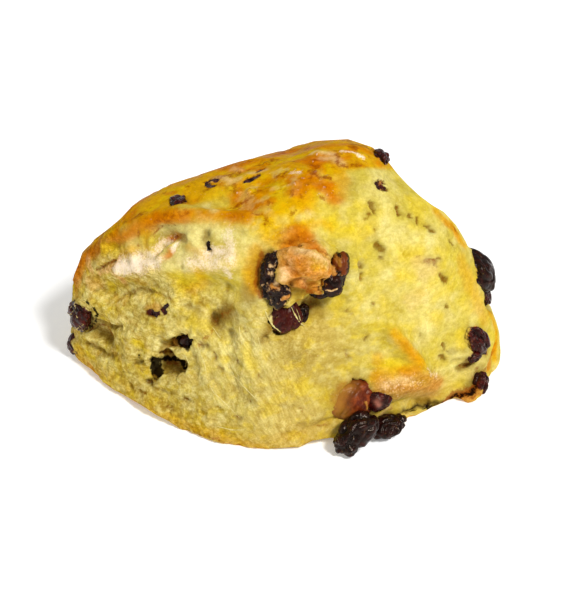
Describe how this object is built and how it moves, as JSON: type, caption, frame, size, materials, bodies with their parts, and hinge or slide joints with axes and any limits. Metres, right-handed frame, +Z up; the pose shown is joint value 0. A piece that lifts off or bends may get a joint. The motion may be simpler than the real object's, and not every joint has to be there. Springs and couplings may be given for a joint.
{
  "type": "fruit scone",
  "caption": "Lopsided free-form fruit scone of yellow dough with a browned crust, a torn craggy front and raisins standing out of it.",
  "frame": {"origin": "on the flat base, under the middle of the scone", "axes": "+Z up, +X towards the right end as seen from the torn front, -Y towards the torn front"},
  "size_m": [0.0879, 0.0667, 0.0459],
  "materials": {
    "dough": "baked dough: matte torn crumb and a lightly glazed golden crust",
    "raisin": "wrinkled dark skin with a soft gloss"
  },
  "bodies": {
    "root": {"dough": "dough", "raisin_right_end": "raisin", "raisin_right_low": "raisin", "raisin_right_face": "raisin", "raisin_right_dot": "raisin", "raisin_foot_right": "raisin", "raisin_foot_front": "raisin", "raisin_foot_side": "raisin", "raisin_brown": "raisin", "raisin_brown_small": "raisin", "raisin_middle_left": "raisin", "raisin_middle_right": "raisin", "raisin_under": "raisin", "raisin_under_small": "raisin", "raisin_left_end": "raisin", "raisin_left_low": "raisin", "raisin_crumb_a": "raisin", "raisin_crumb_b": "raisin", "raisin_in_hole": "raisin", "raisin_crust_left": "raisin", "raisin_crust_middle": "raisin", "raisin_crust_right": "raisin", "raisin_top_right": "raisin", "raisin_flank_bit": "raisin", "raisin_edge_bit": "raisin", "raisin_back_a": "raisin", "raisin_back_b": "raisin", "raisin_back_c": "raisin", "raisin_back_d": "raisin"}
  },
  "joints": []
}
